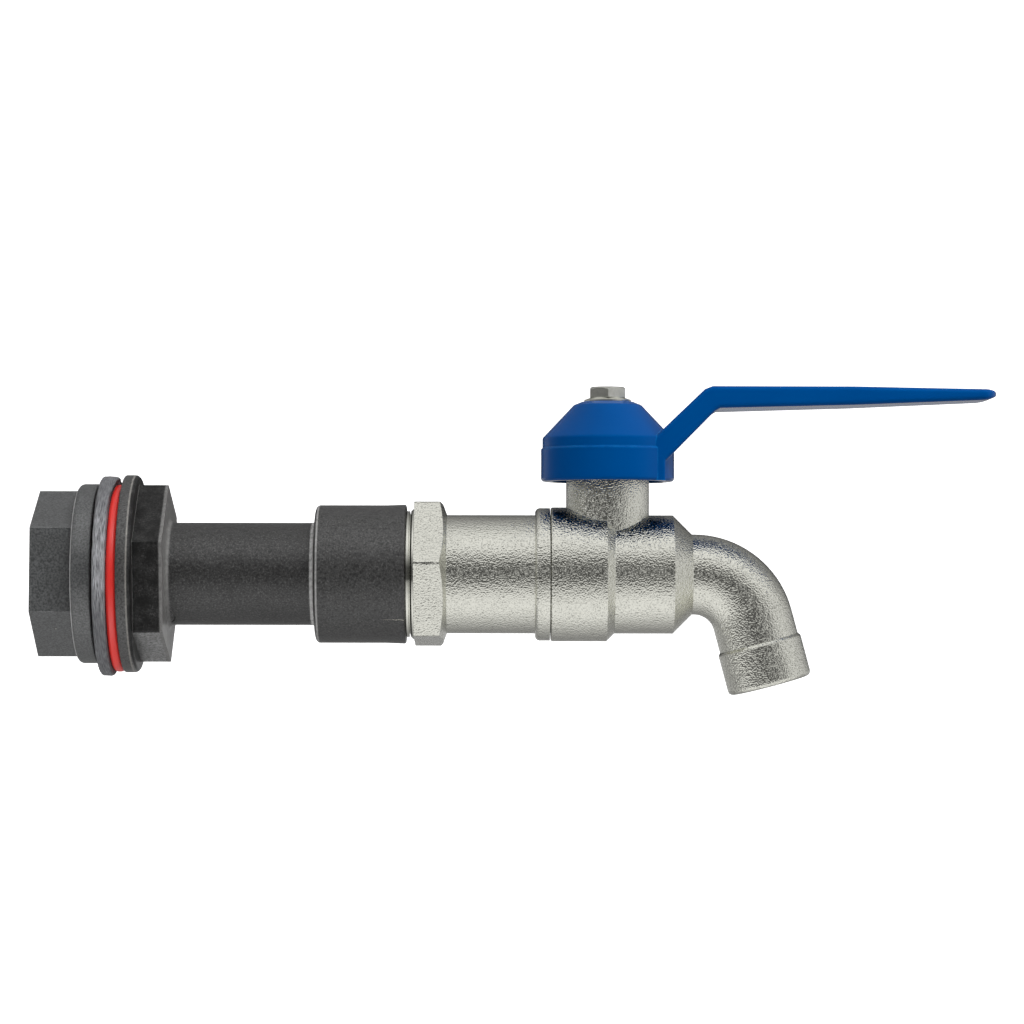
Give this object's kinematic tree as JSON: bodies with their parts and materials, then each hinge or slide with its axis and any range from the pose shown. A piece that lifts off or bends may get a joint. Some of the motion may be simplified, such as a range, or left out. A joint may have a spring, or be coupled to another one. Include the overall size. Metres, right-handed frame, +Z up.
{
  "type": "water butt tap",
  "caption": "Quarter-turn lever tap with a curved spout, on a plastic tank connector with flange, sealing washers and backnut, for draining a rainwater butt.",
  "frame": {"origin": "centre of the connector flange's sealing face, on the pipe axis", "axes": "+X along the pipe from the tank to the spout, +Z up along the valve stem, +Y completes the frame"},
  "size_m": [0.1958, 0.041, 0.063],
  "materials": {
    "grey_plastic": "moulded, matt",
    "black_rubber": "grainy",
    "red_rubber": "smooth, slightly glossy",
    "black_plastic": "moulded, fine grain",
    "plated_brass": "nickel plated over a blasted casting",
    "bright_plate": "polished plate",
    "white_seal": "smooth",
    "bare_brass": "turned",
    "blue_paint": "gloss paint on a casting",
    "zinc_steel": "zinc plated"
  },
  "bodies": {
    "tap": {"tank_connector": "black_plastic", "red_washer": "red_rubber", "inlet_adapter": "plated_brass", "body_seal_ring": "black_rubber", "tap_body": "plated_brass", "inlet_seat": "white_seal", "outlet_seat": "white_seal", "thrust_washer": "white_seal", "stem_packing": "white_seal", "gland_nut": "bare_brass"},
    "lever": {"lever_handle": "blue_paint", "handle_screw": "zinc_steel", "stem": "bare_brass", "ball": "bright_plate", "stem_o_ring": "black_rubber"},
    "inner_washer": {"rubber_washer": "black_rubber"},
    "nut": {"backnut": "grey_plastic"}
  },
  "joints": [
    {"name": "lever_turn", "type": "hinge", "parent": "tap", "child": "lever", "pos_m": [0.09865, 0, 0], "axis": [0, 0, 1], "range_deg": [-90, 0]},
    {"name": "washer_slide", "type": "slide", "parent": "tap", "child": "inner_washer", "axis": [-1, 0, 0], "range_m": [0, 0.00726]},
    {"name": "backnut_turn", "type": "hinge", "parent": "inner_washer", "child": "nut", "pos_m": [-0.0113, 0, 0], "axis": [-1, 0, 0], "range_deg": [0, 1440]}
  ],
  "couplings": [
    {"joint": "washer_slide", "follows": "backnut_turn", "m_per_rad": 0.00028871}
  ]
}
